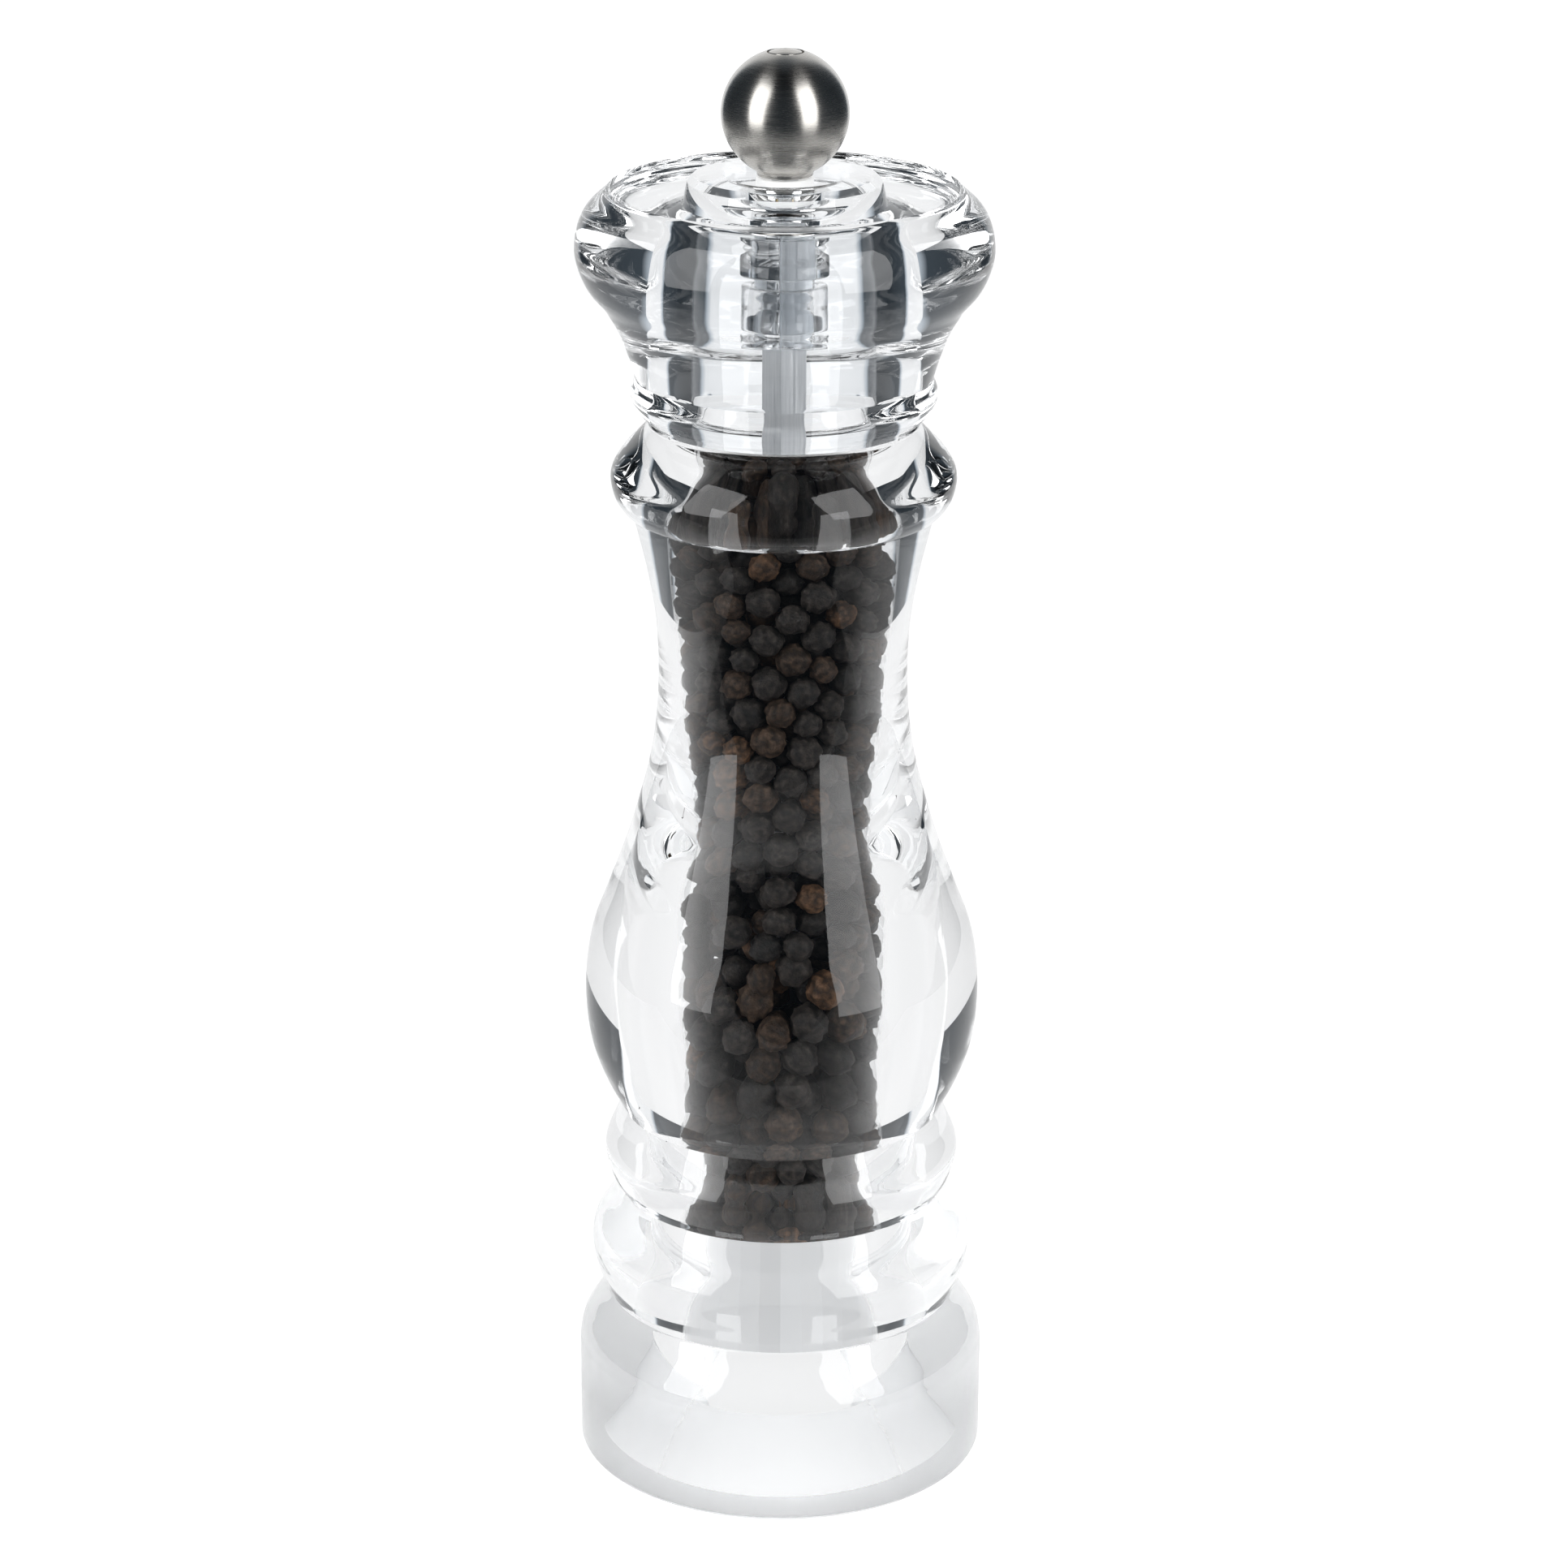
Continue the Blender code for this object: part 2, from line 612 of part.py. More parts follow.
def main():
    clear_scene()
    acrylic = (0.93, 0.95, 0.97)
    body_finish = material("clear_acrylic_body", acrylic, 0.02, transmission=1.0)
    head_finish = material("clear_acrylic_head", acrylic, 0.02, transmission=1.0)
    steel = (0.62, 0.6, 0.57)
    body_outline = chain(body_outside(), body_inside())
    turned("body_shell", body_outline, body_finish, SEGMENTS)
    head_outline = chain(head_outside(), head_inside())
    turned("head_shell", head_outline, head_finish, SEGMENTS)
    make_housing(material("housing_plastic", (0.86, 0.87, 0.88), 0.35))
    make_stator(material("stator_ceramic", (0.9, 0.89, 0.86), 0.3))
    make_rotor(material("rotor_ceramic", (0.9, 0.89, 0.86), 0.3))
    make_bridge(material("bridge_steel", steel, 0.35, 1.0))
    make_screws(material("screw_steel", steel, 0.3, 1.0))
    make_spindle_bush(material("spindle_bush_plastic", (0.82, 0.83, 0.84), 0.45))
    make_spring(material("spring_steel", steel, 0.25, 1.0))
    make_thrust_washer(material("washer_steel", steel, 0.3, 1.0))
    make_rotor_nut(material("nut_steel", steel, 0.3, 1.0))
    make_spindle(material("spindle_aluminium", (0.78, 0.8, 0.82), 0.4, 1.0))
    make_drive_bush(material("drive_bush_plastic", (0.85, 0.88, 0.9), 0.2, transmission=0.8))
    make_knob_washer(material("knob_washer_plastic", (0.88, 0.88, 0.87), 0.4))
    ball_finish = material("knob_brushed_steel", (0.5, 0.48, 0.44), 0.3, 1.0)
    insert_finish = material("insert_brass", (0.75, 0.58, 0.3), 0.35, 1.0)
    cap_finish = material("cap_steel", (0.55, 0.53, 0.5), 0.25, 1.0)
    make_knob(ball_finish, insert_finish, cap_finish)


main()
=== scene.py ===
from math import cos, hypot, pi, radians, sin

import bmesh
import bpy
import numpy as np
from mathutils import Matrix, Vector, noise


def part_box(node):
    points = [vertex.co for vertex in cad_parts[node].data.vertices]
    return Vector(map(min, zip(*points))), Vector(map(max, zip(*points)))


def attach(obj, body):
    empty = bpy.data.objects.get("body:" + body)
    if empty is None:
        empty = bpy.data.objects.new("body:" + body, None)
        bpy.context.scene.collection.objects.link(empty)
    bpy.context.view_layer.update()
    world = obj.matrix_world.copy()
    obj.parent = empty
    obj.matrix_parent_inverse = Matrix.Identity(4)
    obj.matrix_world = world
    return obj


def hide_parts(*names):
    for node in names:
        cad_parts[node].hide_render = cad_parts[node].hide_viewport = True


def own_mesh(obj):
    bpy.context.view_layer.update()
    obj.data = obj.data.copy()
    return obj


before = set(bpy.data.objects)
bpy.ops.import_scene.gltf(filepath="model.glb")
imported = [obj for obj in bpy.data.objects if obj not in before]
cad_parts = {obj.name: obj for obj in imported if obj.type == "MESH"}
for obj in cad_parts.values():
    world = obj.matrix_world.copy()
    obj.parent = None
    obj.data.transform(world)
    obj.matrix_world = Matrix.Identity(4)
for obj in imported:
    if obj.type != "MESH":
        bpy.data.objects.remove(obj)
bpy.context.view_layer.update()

MM = 0.001
GAP = 0.3
LATHE_SEGMENTS = 160
SMALL_SEGMENTS = 96
CURVE_STEPS = 6
CREASE = radians(24)

# The turned outlines, as (radius, height) pairs in millimetres, follow the CAD's own.
FOOT_RADIUS = 31.35
FOOT_EDGE = 1.6
SHOULDER_HEIGHT = 17.4
LOW_GROOVE = (26.8, 26.4)
MID_GROOVE = (25.0, 43.8)
HIGH_GROOVE = (24.4, 57.0)
COLLAR_CREASE = (22.4, 151.2)
MOUTH_HEIGHT = 164.9
MOUTH_EDGE_RADIUS = 19.8
MOUTH_RADIUS = 17.2
MOUTH_DEPTH = 1.3
CHAMBER_RADIUS = 14.3
CHAMBER_FLOOR = 42.0
CHAMBER_WALL = [
    (CHAMBER_RADIUS, CHAMBER_FLOOR),
    (14.4, 58.0),
    (15.6, 66.0),
    (16.8, 75.0),
    (16.9, 82.0),
    (16.2, 89.0),
    (14.7, 98.0),
    (14.8, 106.0),
    (15.3, 118.0),
    (15.7, 130.0),
    (16.4, 142.0),
    (17.0, 153.0),
    (MOUTH_RADIUS, MOUTH_HEIGHT - MOUTH_DEPTH),
]
THROAT_RADIUS = 13.0
THROAT_TOP = CHAMBER_FLOOR - CHAMBER_RADIUS + THROAT_RADIUS
BAY_RADIUS = 13.9
BAY_TOP = 39.0
OUTLET_STRAIGHT = 11.0
OUTLET_RADIUS = 17.4
HEAD_FLOOR = MOUTH_HEIGHT + GAP
SPIGOT_RADIUS = MOUTH_RADIUS - GAP
SPIGOT_FLOOR = MOUTH_HEIGHT - MOUTH_DEPTH + GAP
HEAD_CAVITY_RADIUS = 13.2
HEAD_CAVITY_CEILING = 191.4
CEILING_CORNER = 4.2
COVE_CREASE = (26.4, 182.5)
RIM = (25.7, 199.8)
HUB_TOP = 201.7
RECESS_RADIUS = 9.0
RECESS_FLOOR = 195.7
SHAFT_HOLE_RADIUS = 3.6
BUSH_HOLE_RADIUS = 4.6
BUSH_HOLE_TOP = 193.9
BUSH_BOTTOM = 184.4
BUSH_DISC_RADIUS = 6.4
BUSH_DISC_BOTTOM = 188.4
BUSH_DISC_TOP = 189.8
COLLAR_RADIUS = 6.2
COLLAR_BOTTOM = 184.7
COLLAR_TOP = 187.5
SQUARE_HOLE_SIDE = 4.8
SPINDLE_TURN = radians(37.5)
SPRING_RADIUS = 5.4
SPRING_WIRE_RADIUS = 0.45
SPRING_TURNS = 3.5
SPRING_SIDES = 12
SPRING_STEPS = 48
BALL_RADIUS = 9.3
BALL_HEIGHT = 210.7
KNOB_NECK_RADIUS = 4.1
KNOB_NECK_TOP = 202.1
KNOB_WASHER_FOOT = 4.9
KNOB_WASHER_RADIUS = 4.2
KNOB_WASHER_BOTTOM = RECESS_FLOOR + GAP
KNOB_WASHER_STEP = 197.2
KNOB_WASHER_SLOPE = 0.3
KNOB_WASHER_HOLE = SHAFT_HOLE_RADIUS - 0.4
KNOB_WASHER_TOP = 201.4
KNOB_BOTTOM = KNOB_WASHER_TOP + GAP
INSERT_RADIUS = 3.1
INSERT_TOP = 210.6
CAP_RADIUS = 2.4
CAP_SEAT = 217.9
CAP_BOTTOM = 218.4

# Peppercorns
CORN_SEED = 7
CORN_COUNT = 950
CORN_RADIUS = (2.05, 2.65)
FILL_BOTTOM = 36.5
FILL_TOP = 161.5
FILL_GAP = 0.15
FILL_CORE = 3.3
SETTLE_ROUNDS = 260
SETTLE_PUSH = 0.34
SETTLE_SINK = 0.12
OUTER_LAYER = 5.4
CORN_SHAPES = 12
CORN_GROUPS = 4


# ---------------------------------------------------------------- shapes

def smooth(points, steps=CURVE_STEPS):
    """Points of a Catmull-Rom curve through the given points."""
    ends = [Vector(p) for p in points]
    ends = [2 * ends[0] - ends[1], *ends, 2 * ends[-1] - ends[-2]]
    curve = []
    for a, b, c, d in zip(ends, ends[1:], ends[2:], ends[3:]):
        for step in range(steps):
            t = step / steps
            curve.append(
                b + 0.5 * t * (c - a + t * (2 * a - 5 * b + 4 * c - d + t * (3 * (b - c) + d - a)))
            )
    return [tuple(p) for p in curve] + [tuple(points[-1])]


def arc(centre, radius, start, end, steps):
    angles = [radians(start + (end - start) * i / steps) for i in range(steps + 1)]
    return [(centre[0] + radius * cos(a), centre[1] + radius * sin(a)) for a in angles]


def chain(*runs):
    joined = []
    for point in (p for run in runs for p in run):
        if not joined or hypot(point[0] - joined[-1][0], point[1] - joined[-1][1]) > 1e-6:
            joined.append(point)
    return joined


def square_hole(angle):
    """The reach of the square hole's wall at an angle about Z."""
    turn = angle - SPINDLE_TURN
    return SQUARE_HOLE_SIDE / 2 / max(abs(cos(turn)), abs(sin(turn)))


def revolve(outline, segments):
    """A closed bmesh from an outline turned about Z. A radius may be a function of the angle."""
    bm = bmesh.new()
    rows = []
    for radius, height in outline:
        count = 1 if radius == 0 else segments
        row = []
        for i in range(count):
            angle = 2 * pi * i / segments
            reach = radius(angle) if callable(radius) else radius
            row.append(bm.verts.new((reach * cos(angle), reach * sin(angle), height)))
        rows.append(row)
    for here, there in zip(rows, rows[1:] + rows[:1]):
        if len(here) == len(there) == 1:
            continue
        for i in range(segments):
            j = (i + 1) % segments
            corners = [
                here[i % len(here)],
                here[j % len(here)],
                there[j % len(there)],
                there[i % len(there)],
            ]
            bm.faces.new(list(dict.fromkeys(corners)))
    return bm


def add_object(name, bm, finish):
    bmesh.ops.recalc_face_normals(bm, faces=bm.faces)
    bmesh.ops.scale(bm, vec=(MM, MM, MM), verts=bm.verts)
    mesh = bpy.data.meshes.new(name)
    bm.to_mesh(mesh)
    bm.free()
    mesh.shade_smooth()
    mesh.set_sharp_from_angle(angle=CREASE)
    mesh.materials.append(finish)
    made = bpy.data.objects.new(name, mesh)
    bpy.context.scene.collection.objects.link(made)
    return made


def soften(obj, width):
    """Rounds an object's sharp edges with a small bevel and applies it."""
    bevel = obj.modifiers.new("edges", "BEVEL")
    bevel.width = width * MM
    bevel.segments = 2
    bevel.limit_method = "ANGLE"
    bevel.angle_limit = CREASE
    bevel.harden_normals = False
    graph = bpy.context.evaluated_depsgraph_get()
    mesh = bpy.data.meshes.new_from_object(obj.evaluated_get(graph))
    obj.modifiers.clear()
    obj.data = mesh
    mesh.shade_smooth()
    mesh.set_sharp_from_angle(angle=radians(60))


def turned(name, outline, finish, segments=SMALL_SEGMENTS, edge=0.0):
    made = add_object(name, revolve(outline, segments), finish)
    if edge:
        soften(made, edge)
    return made


def settle(piece, body, slot, *nodes):
    """Rides a finished piece on its body in place of the CAD nodes it stands for."""
    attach(piece, body)
    if nodes:
        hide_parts(*nodes)


# ---------------------------------------------------------------- materials

class Nodes:
    """A material's node tree with short calls for the nodes used here."""

    def __init__(self, name):
        self.material = bpy.data.materials.new(name)
        self.material.use_nodes = True
        self.tree = self.material.node_tree
        self.shader = self.tree.nodes["Principled BSDF"]
        self.output = self.tree.nodes["Material Output"]

    def add(self, kind, **values):
        node = self.tree.nodes.new(kind)
        for key, value in values.items():
            setattr(node, key, value)
        return node

    def link(self, source, target):
        self.tree.links.new(source, target)

    def set(self, **values):
        for key, value in values.items():
            self.shader.inputs[key.replace("_", " ")].default_value = value

    def position(self, scale=(1.0, 1.0, 1.0)):
        place = self.add("ShaderNodeTexCoord")
        mapping = self.add("ShaderNodeMapping")
        mapping.inputs["Scale"].default_value = scale
        self.link(place.outputs["Object"], mapping.inputs["Vector"])
        return mapping.outputs["Vector"]

    def noise(self, vector, scale, detail=3.0, roughness=0.5):
        node = self.add("ShaderNodeTexNoise")
        node.inputs["Scale"].default_value = scale
        node.inputs["Detail"].default_value = detail
        node.inputs["Roughness"].default_value = roughness
        self.link(vector, node.inputs["Vector"])
        return node.outputs["Fac"]

    def math(self, operation, first, second):
        node = self.add("ShaderNodeMath", operation=operation)
        self.link(first, node.inputs[0])
        self.link(second, node.inputs[1])
        return node.outputs["Value"]

    def spread(self, value, low, high, start=0.3, end=0.7):
        """Maps start..end of a value to low..high, held at the ends."""
        node = self.add("ShaderNodeMapRange")
        node.inputs["From Min"].default_value = start
        node.inputs["From Max"].default_value = end
        node.inputs["To Min"].default_value = low
        node.inputs["To Max"].default_value = high
        self.link(value, node.inputs["Value"])
        return node.outputs["Result"]

    def fade(self, value, full, span):
        """Drops from full to 0 as a length in metres passes the span in millimetres."""
        return self.spread(value, full, 0.0, span[0] * MM, span[1] * MM)

    def ramp(self, value, stops):
        node = self.add("ShaderNodeValToRGB")
        elements = node.color_ramp.elements
        while len(elements) < len(stops):
            elements.new(0.5)
        for element, (place, colour) in zip(elements, stops):
            element.position = place
            element.color = (*colour, 1.0)
        self.link(value, node.inputs["Fac"])
        return node.outputs["Color"]

    def bump(self, height, strength, distance):
        node = self.add("ShaderNodeBump")
        node.inputs["Strength"].default_value = strength
        node.inputs["Distance"].default_value = distance
        self.link(height, node.inputs["Height"])
        self.link(node.outputs["Normal"], self.shader.inputs["Normal"])


BODY_TINT = (0.984, 0.989, 0.994)
HEAD_TINT = (0.98, 0.988, 0.996)
# Heights and radii, in millimetres, over which the body's two matt areas fade into its polish
LOWER_FACE_FADE = (0.2, 0.6)
OUTLET_FADE = (OUTLET_RADIUS + 0.1, OUTLET_RADIUS + 0.3)
OUTLET_TOP_FADE = (OUTLET_STRAIGHT + 0.2, OUTLET_STRAIGHT + 0.6)
LOWER_FACE_ROUGHNESS = 0.7
OUTLET_ROUGHNESS = 0.8


def clear_plastic(name, tint, roughness, lower_face=0.0, outlet=0.0):
    """Clear plastic. Light from lamps passes it, so that what is inside is lit.

    lower_face is the roughness of a face on the table, and outlet that of the outlet's wall.
    """
    nodes = Nodes(name)
    nodes.set(Base_Color=(*tint, 1.0), IOR=1.49, Transmission_Weight=1.0)
    wear = nodes.noise(nodes.position(), 160.0, 4.0, 0.6)
    haze = nodes.spread(wear, roughness, roughness + 0.03, 0.45, 0.8)
    split = nodes.add("ShaderNodeSeparateXYZ")
    nodes.link(nodes.position(), split.inputs["Vector"])
    height = split.outputs["Z"]
    foot = nodes.fade(height, lower_face, LOWER_FACE_FADE)
    reach = nodes.add("ShaderNodeVectorMath", operation="LENGTH")
    nodes.link(nodes.position((1.0, 1.0, 0.0)), reach.inputs[0])
    inner = nodes.fade(reach.outputs["Value"], outlet, OUTLET_FADE)
    low = nodes.fade(height, 1.0, OUTLET_TOP_FADE)
    bored = nodes.math("MULTIPLY", inner, low)
    rougher = nodes.math("MAXIMUM", nodes.math("MAXIMUM", haze, foot), bored)
    nodes.link(rougher, nodes.shader.inputs["Roughness"])
    ripple = nodes.noise(nodes.position((1.0, 1.0, 0.5)), 90.0, 1.0)
    nodes.bump(ripple, 0.05, 0.0004)
    path = nodes.add("ShaderNodeLightPath")
    clear = nodes.add("ShaderNodeBsdfTransparent")
    clear.inputs["Color"].default_value = (0.93, 0.94, 0.95, 1.0)
    mix = nodes.add("ShaderNodeMixShader")
    nodes.link(path.outputs["Is Shadow Ray"], mix.inputs["Fac"])
    nodes.link(nodes.shader.outputs["BSDF"], mix.inputs[1])
    nodes.link(clear.outputs["BSDF"], mix.inputs[2])
    nodes.link(mix.outputs["Shader"], nodes.output.inputs["Surface"])
    return nodes.material


def turned_steel(name, dark, light, roughness):
    """Steel brushed while it turned: fine rings round Z, and a highlight drawn out along Z."""
    nodes = Nodes(name)
    nodes.set(Metallic=1.0, Anisotropic=0.8, Anisotropic_Rotation=0.25)
    rings = nodes.noise(nodes.position((200.0, 200.0, 6000.0)), 1.0, 3.0, 0.6)
    nodes.link(nodes.ramp(rings, ((0.3, dark), (0.72, light))), nodes.shader.inputs["Base Color"])
    nodes.link(
        nodes.spread(rings, roughness - 0.02, roughness + 0.02), nodes.shader.inputs["Roughness"]
    )
    tangent = nodes.add("ShaderNodeTangent", direction_type="RADIAL", axis="Z")
    nodes.link(tangent.outputs["Tangent"], nodes.shader.inputs["Tangent"])
    nodes.bump(rings, 0.08, 0.00004)
    return nodes.material


def drawn_metal(name, dark, light, roughness, metallic=1.0):
    """Metal bar or stamping with fine drawing lines along Z."""
    nodes = Nodes(name)
    nodes.set(Metallic=metallic)
    lines = nodes.noise(nodes.position((2400.0, 2400.0, 40.0)), 1.0, 3.0, 0.6)
    nodes.link(nodes.ramp(lines, ((0.3, dark), (0.7, light))), nodes.shader.inputs["Base Color"])
    nodes.link(
        nodes.spread(lines, roughness - 0.07, roughness + 0.1), nodes.shader.inputs["Roughness"]
    )
    nodes.bump(lines, 0.15, 0.00006)
    return nodes.material


def moulded(name, dark, light, roughness, transmission=0.0):
    """Moulded plastic or fired ceramic, with faint mottling and an eggshell surface."""
    nodes = Nodes(name)
    nodes.set(IOR=1.5, Transmission_Weight=transmission)
    mottle = nodes.noise(nodes.position(), 420.0, 4.0, 0.6)
    nodes.link(nodes.ramp(mottle, ((0.3, dark), (0.7, light))), nodes.shader.inputs["Base Color"])
    nodes.link(
        nodes.spread(mottle, roughness - 0.05, roughness + 0.1), nodes.shader.inputs["Roughness"]
    )
    nodes.bump(nodes.noise(nodes.position(), 2500.0, 2.0), 0.1, 0.00005)
    return nodes.material


def peppercorn_skin():
    """Dried pepper skin in each corn's own tone, with painted shade in the wrinkles and painted
    light on the ridges.
    """
    nodes = Nodes("peppercorn_skin")
    # The corn_tone attribute holds each corn's own tone with painted shade in its wrinkles and
    # painted light on its ridges.
    tone = nodes.add("ShaderNodeAttribute", attribute_name="corn_tone")
    grain = nodes.noise(nodes.position(), 1500.0, 5.0, 0.65)
    speckle = nodes.ramp(grain, ((0.32, (0.3, 0.28, 0.26)), (0.7, (1.9, 1.8, 1.7))))
    mix = nodes.add("ShaderNodeMix", data_type="RGBA", blend_type="MULTIPLY")
    mix.inputs["Factor"].default_value = 1.0
    nodes.link(tone.outputs["Color"], mix.inputs["A"])
    nodes.link(speckle, mix.inputs["B"])
    nodes.link(mix.outputs["Result"], nodes.shader.inputs["Base Color"])
    nodes.set(Specular_IOR_Level=0.28)
    nodes.link(nodes.spread(grain, 0.42, 0.66), nodes.shader.inputs["Roughness"])
    wrinkle = nodes.noise(nodes.position(), 800.0, 5.0, 0.65)
    nodes.bump(wrinkle, 0.9, 0.0004)
    return nodes.material


# ---------------------------------------------------------------- acrylic body and head

def body_outline():
    collar = [
        (MOUTH_EDGE_RADIUS, MOUTH_HEIGHT),
        (21.3, 163.2),
        (23.5, 161.0),
        (25.2, 158.4),
        (25.6, 156.4),
        (25.0, 153.9),
        (23.8, 152.1),
        COLLAR_CREASE,
    ]
    bulb = [
        COLLAR_CREASE,
        (20.2, 142.0),
        (19.0, 134.5),
        (18.65, 127.5),
        (19.0, 119.5),
        (20.3, 111.4),
        (23.2, 101.0),
        (26.3, 92.4),
        (28.9, 85.2),
        (29.95, 77.5),
        (29.5, 69.6),
        (27.6, 63.2),
        HIGH_GROOVE,
    ]
    high_bead = [HIGH_GROOVE, (25.7, 54.1), (27.15, 50.1), (26.3, 46.1), MID_GROOVE]
    low_bead = [MID_GROOVE, (26.6, 40.6), (28.7, 37.3), (29.25, 34.2), (28.5, 30.2), LOW_GROOVE]
    shoulder = [
        LOW_GROOVE,
        (27.9, 24.6),
        (29.5, 22.3),
        (30.8, 20.0),
        (FOOT_RADIUS, SHOULDER_HEIGHT),
    ]
    foot_edge = arc((FOOT_RADIUS - FOOT_EDGE, FOOT_EDGE), FOOT_EDGE, 0, -90, 8)
    outlet = [(OUTLET_RADIUS, 0.0), (16.0, 4.0), (14.6, 7.6), (BAY_RADIUS, OUTLET_STRAIGHT)]
    bay = [
        (BAY_RADIUS, BAY_TOP),
        (THROAT_RADIUS, BAY_TOP),
        (THROAT_RADIUS, THROAT_TOP),
    ]
    wall = [*smooth(CHAMBER_WALL), (MOUTH_RADIUS, MOUTH_HEIGHT)]
    runs = [smooth(run) for run in (collar, bulb, high_bead, low_bead, shoulder)]
    return chain(*runs, foot_edge, smooth(outlet), bay, wall)


def head_outline():
    seat = [(SPIGOT_RADIUS, SPIGOT_FLOOR), (SPIGOT_RADIUS, HEAD_FLOOR), (19.8, HEAD_FLOOR)]
    bead = [(19.8, HEAD_FLOOR), (21.6, 167.1), (22.6, 169.4), (21.9, 171.9)]
    cove = [(21.9, 171.9), (23.0, 175.4), (24.4, 179.0), COVE_CREASE]
    bulge = [COVE_CREASE, (29.2, 186.0), (30.65, 190.8), (29.4, 196.0), RIM]
    dish = [RIM, (22.6, 197.3), (18.6, 196.3), (14.9, 197.4)]
    hub = [(14.9, 197.4), (14.2, 200.8), (13.2, HUB_TOP), (RECESS_RADIUS, HUB_TOP)]
    recess = [(RECESS_RADIUS, HUB_TOP), (8.4, 198.6), (6.9, 196.6), (5.2, RECESS_FLOOR)]
    hole = [
        (SHAFT_HOLE_RADIUS, RECESS_FLOOR),
        (SHAFT_HOLE_RADIUS, BUSH_HOLE_TOP),
        (BUSH_HOLE_RADIUS, BUSH_HOLE_TOP),
        (BUSH_HOLE_RADIUS, HEAD_CAVITY_CEILING),
    ]
    corner = (HEAD_CAVITY_RADIUS - CEILING_CORNER, HEAD_CAVITY_CEILING - CEILING_CORNER)
    cavity = arc(corner, CEILING_CORNER, 90, 0, 12) + [(HEAD_CAVITY_RADIUS, SPIGOT_FLOOR)]
    curves = [smooth(run) for run in (bead, cove, bulge, dish)]
    return chain(seat, *curves, hub, smooth(recess), hole, cavity)


def make_shells():
    clear = clear_plastic(
        "clear_acrylic_body", BODY_TINT, 0.0, LOWER_FACE_ROUGHNESS, OUTLET_ROUGHNESS
    )
    body = turned("mill_body", body_outline(), clear, LATHE_SEGMENTS, 0.2)
    settle(body, "body", "body_acrylic", "body_shell")
    clear = clear_plastic("clear_acrylic_head", HEAD_TINT, 0.0)
    head = turned("mill_head", head_outline(), clear, LATHE_SEGMENTS, 0.2)
    settle(head, "head", "head_acrylic", "head_shell")


# ---------------------------------------------------------------- knob

def make_knob():
    steel = turned_steel("knob_brushed_steel", (0.52, 0.5, 0.47), (0.58, 0.56, 0.53), 0.27)
    hole = INSERT_RADIUS + GAP
    centre = (0.0, BALL_HEIGHT)
    ball = [
        (0.0, INSERT_TOP + GAP),
        (hole, INSERT_TOP + GAP),
        (hole, KNOB_BOTTOM),
        (KNOB_NECK_RADIUS, KNOB_BOTTOM),
        (KNOB_NECK_RADIUS, KNOB_NECK_TOP),
        *arc(centre, BALL_RADIUS, -62.0, 73.2, 90),
        (CAP_RADIUS + GAP, CAP_SEAT),
        (0.0, CAP_SEAT),
    ]
    made = turned("knob_ball_turned", ball, steel, LATHE_SEGMENTS, 0.1)
    settle(made, "knob", "knob_steel", "knob_ball")
    cap_steel = turned_steel("knob_cap_steel", (0.5, 0.48, 0.45), (0.64, 0.62, 0.59), 0.22)
    crown = BALL_HEIGHT + BALL_RADIUS
    cap = [
        (0.0, CAP_BOTTOM),
        (CAP_RADIUS, CAP_BOTTOM),
        *smooth([(CAP_RADIUS, crown - 0.45), (1.7, crown - 0.2), (0.8, crown - 0.04)], 4),
        (0.0, crown),
    ]
    made = turned("knob_cap_turned", cap, cap_steel, SMALL_SEGMENTS, 0.08)
    settle(made, "knob", "knob_steel", "knob_cap")
    nylon = moulded("natural_nylon", (0.9, 0.91, 0.91), (0.96, 0.96, 0.95), 0.3, 0.2)
    # Painted glow: the nylon washer is given emission that stands in for light from behind.
    painted_glow(nylon, 0.3)
    washer = [
        (KNOB_WASHER_HOLE, KNOB_WASHER_BOTTOM),
        (KNOB_WASHER_FOOT, KNOB_WASHER_BOTTOM),
        (KNOB_WASHER_FOOT, KNOB_WASHER_STEP - KNOB_WASHER_SLOPE),
        (KNOB_WASHER_RADIUS, KNOB_WASHER_STEP),
        (KNOB_WASHER_RADIUS, KNOB_WASHER_TOP),
        (KNOB_WASHER_HOLE, KNOB_WASHER_TOP),
    ]
    made = turned("knob_washer_moulded", washer, nylon, SMALL_SEGMENTS, 0.3)
    settle(made, "knob_washer", "bush_nylon", "knob_washer")


# ---------------------------------------------------------------- drive bush

def make_drive_bush():
    """The clear bush with a square hole, and the collar round its lower end."""
    clear = clear_plastic("clear_bush_plastic", (0.95, 0.96, 0.97), 0.05)
    shank = BUSH_HOLE_RADIUS - GAP
    bush = [
        (square_hole, BUSH_BOTTOM),
        (shank, BUSH_BOTTOM),
        (shank, BUSH_DISC_BOTTOM),
        (BUSH_DISC_RADIUS, BUSH_DISC_BOTTOM),
        (BUSH_DISC_RADIUS, BUSH_DISC_TOP),
        (shank, BUSH_DISC_TOP),
        (shank, BUSH_HOLE_TOP - GAP),
        (square_hole, BUSH_HOLE_TOP - GAP),
    ]
    made = turned("drive_bush_moulded", bush, clear, SMALL_SEGMENTS, 0.2)
    settle(made, "head", "drive_bush_clear", "drive_bush")
    collar = [
        (BUSH_HOLE_RADIUS, COLLAR_BOTTOM),
        (COLLAR_RADIUS, COLLAR_BOTTOM),
        (COLLAR_RADIUS, COLLAR_TOP),
        (BUSH_HOLE_RADIUS, COLLAR_TOP),
    ]
    made = turned("bush_collar_moulded", collar, clear, SMALL_SEGMENTS, 0.3)
    settle(made, "head", "drive_bush_clear", "bush_collar")


# ---------------------------------------------------------------- burr spring

